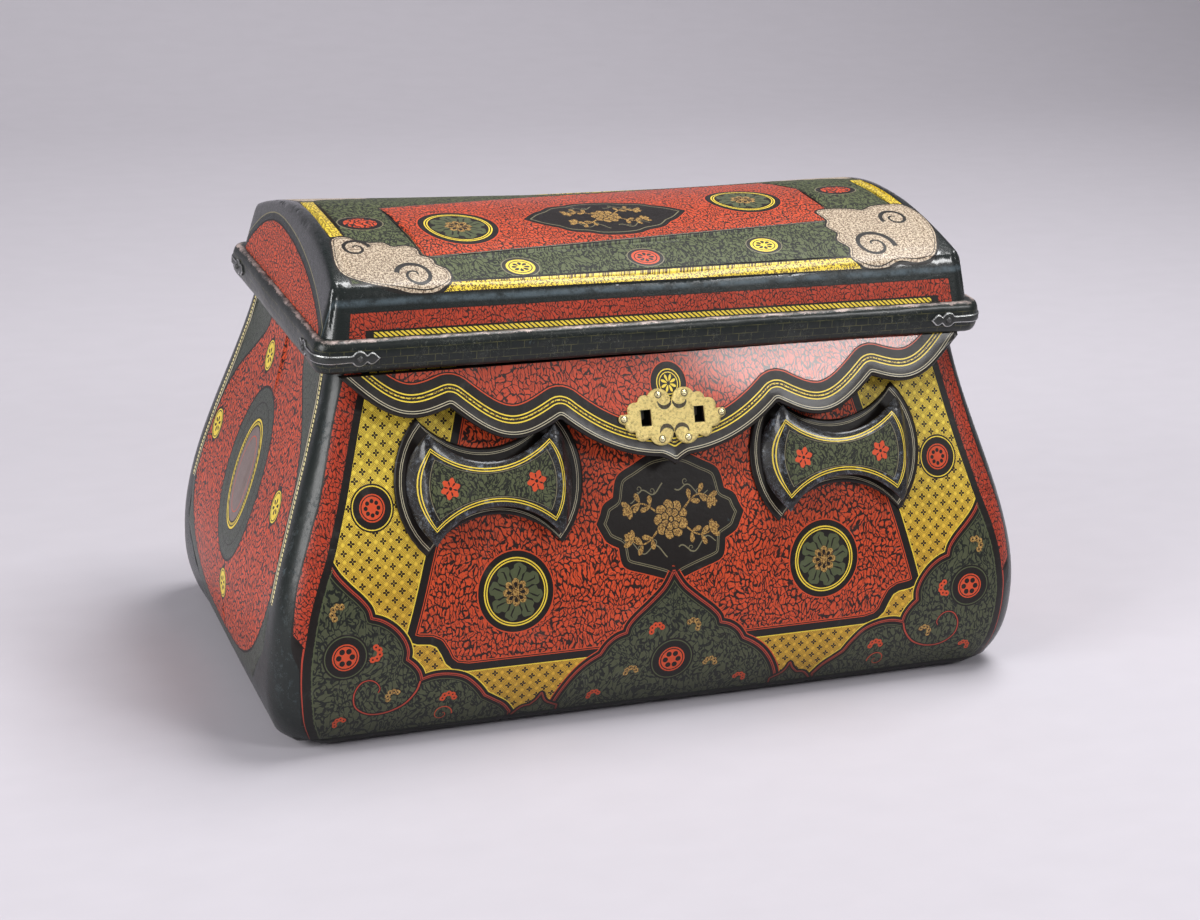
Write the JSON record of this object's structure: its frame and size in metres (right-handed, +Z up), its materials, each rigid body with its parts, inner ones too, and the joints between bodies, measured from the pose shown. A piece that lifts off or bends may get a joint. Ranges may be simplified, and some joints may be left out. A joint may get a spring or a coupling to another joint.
{
  "type": "painted leather coffer",
  "caption": "Flared coffer of painted lacquered leather over thin boards, with a domed lid on back hinges, a scalloped front flap, a lock plate and two strap loops.",
  "frame": {"origin": "on the floor under the middle of the belly, which is the bottom centre of the bounding box", "axes": "+X along the length towards the right end, -Y out of the front, +Z up"},
  "size_m": [0.504, 0.268, 0.2932],
  "materials": {
    "carcass_wood": "thin dark red lacquer on softwood board",
    "painted_leather": "hard moulded leather, lacquered and painted, satin gloss",
    "rim_lacquer": "wooden moulding covered with lacquered leather",
    "loop_leather": "moulded lacquered leather, painted",
    "flap_leather": "moulded lacquered leather, painted",
    "gilt_brass": "worn, lightly tarnished",
    "iron": "dark, worn, faint rust"
  },
  "bodies": {
    "body": {"body_skin": "painted_leather", "front_board": "carcass_wood", "back_board": "carcass_wood", "left_board": "carcass_wood", "right_board": "carcass_wood", "base_board": "carcass_wood", "loop_plate_left": "loop_leather", "loop_plate_right": "loop_leather", "loop_bridge_left": "loop_leather", "loop_bridge_right": "loop_leather", "staple_left": "iron", "staple_right": "iron", "hinge_body_leaf_left": "iron", "hinge_body_leaf_right": "iron", "hinge_pin_left": "iron", "hinge_pin_right": "iron", "hinge_body_rivets": "iron"},
    "lid": {"lid_skin": "painted_leather", "lid_front_board": "carcass_wood", "lid_back_board": "carcass_wood", "lid_left_board": "carcass_wood", "lid_right_board": "carcass_wood", "lid_top_board": "carcass_wood", "rim_front": "rim_lacquer", "rim_back": "rim_lacquer", "rim_left": "rim_lacquer", "rim_right": "rim_lacquer", "corner_iron_front_left": "iron", "corner_iron_front_right": "iron", "corner_iron_back_left": "iron", "corner_iron_back_right": "iron", "corner_iron_rivets": "iron", "front_flap": "flap_leather", "lock_plate": "gilt_brass", "lock_rivets": "gilt_brass", "hinge_lid_leaf_left": "iron", "hinge_lid_leaf_right": "iron", "hinge_lid_rivets": "iron"}
  },
  "joints": [
    {"name": "lid_hinge", "type": "hinge", "parent": "body", "child": "lid", "pos_m": [0, 0.1261, 0.2211], "axis": [-1, 0, 0], "range_deg": [0, 110]}
  ]
}
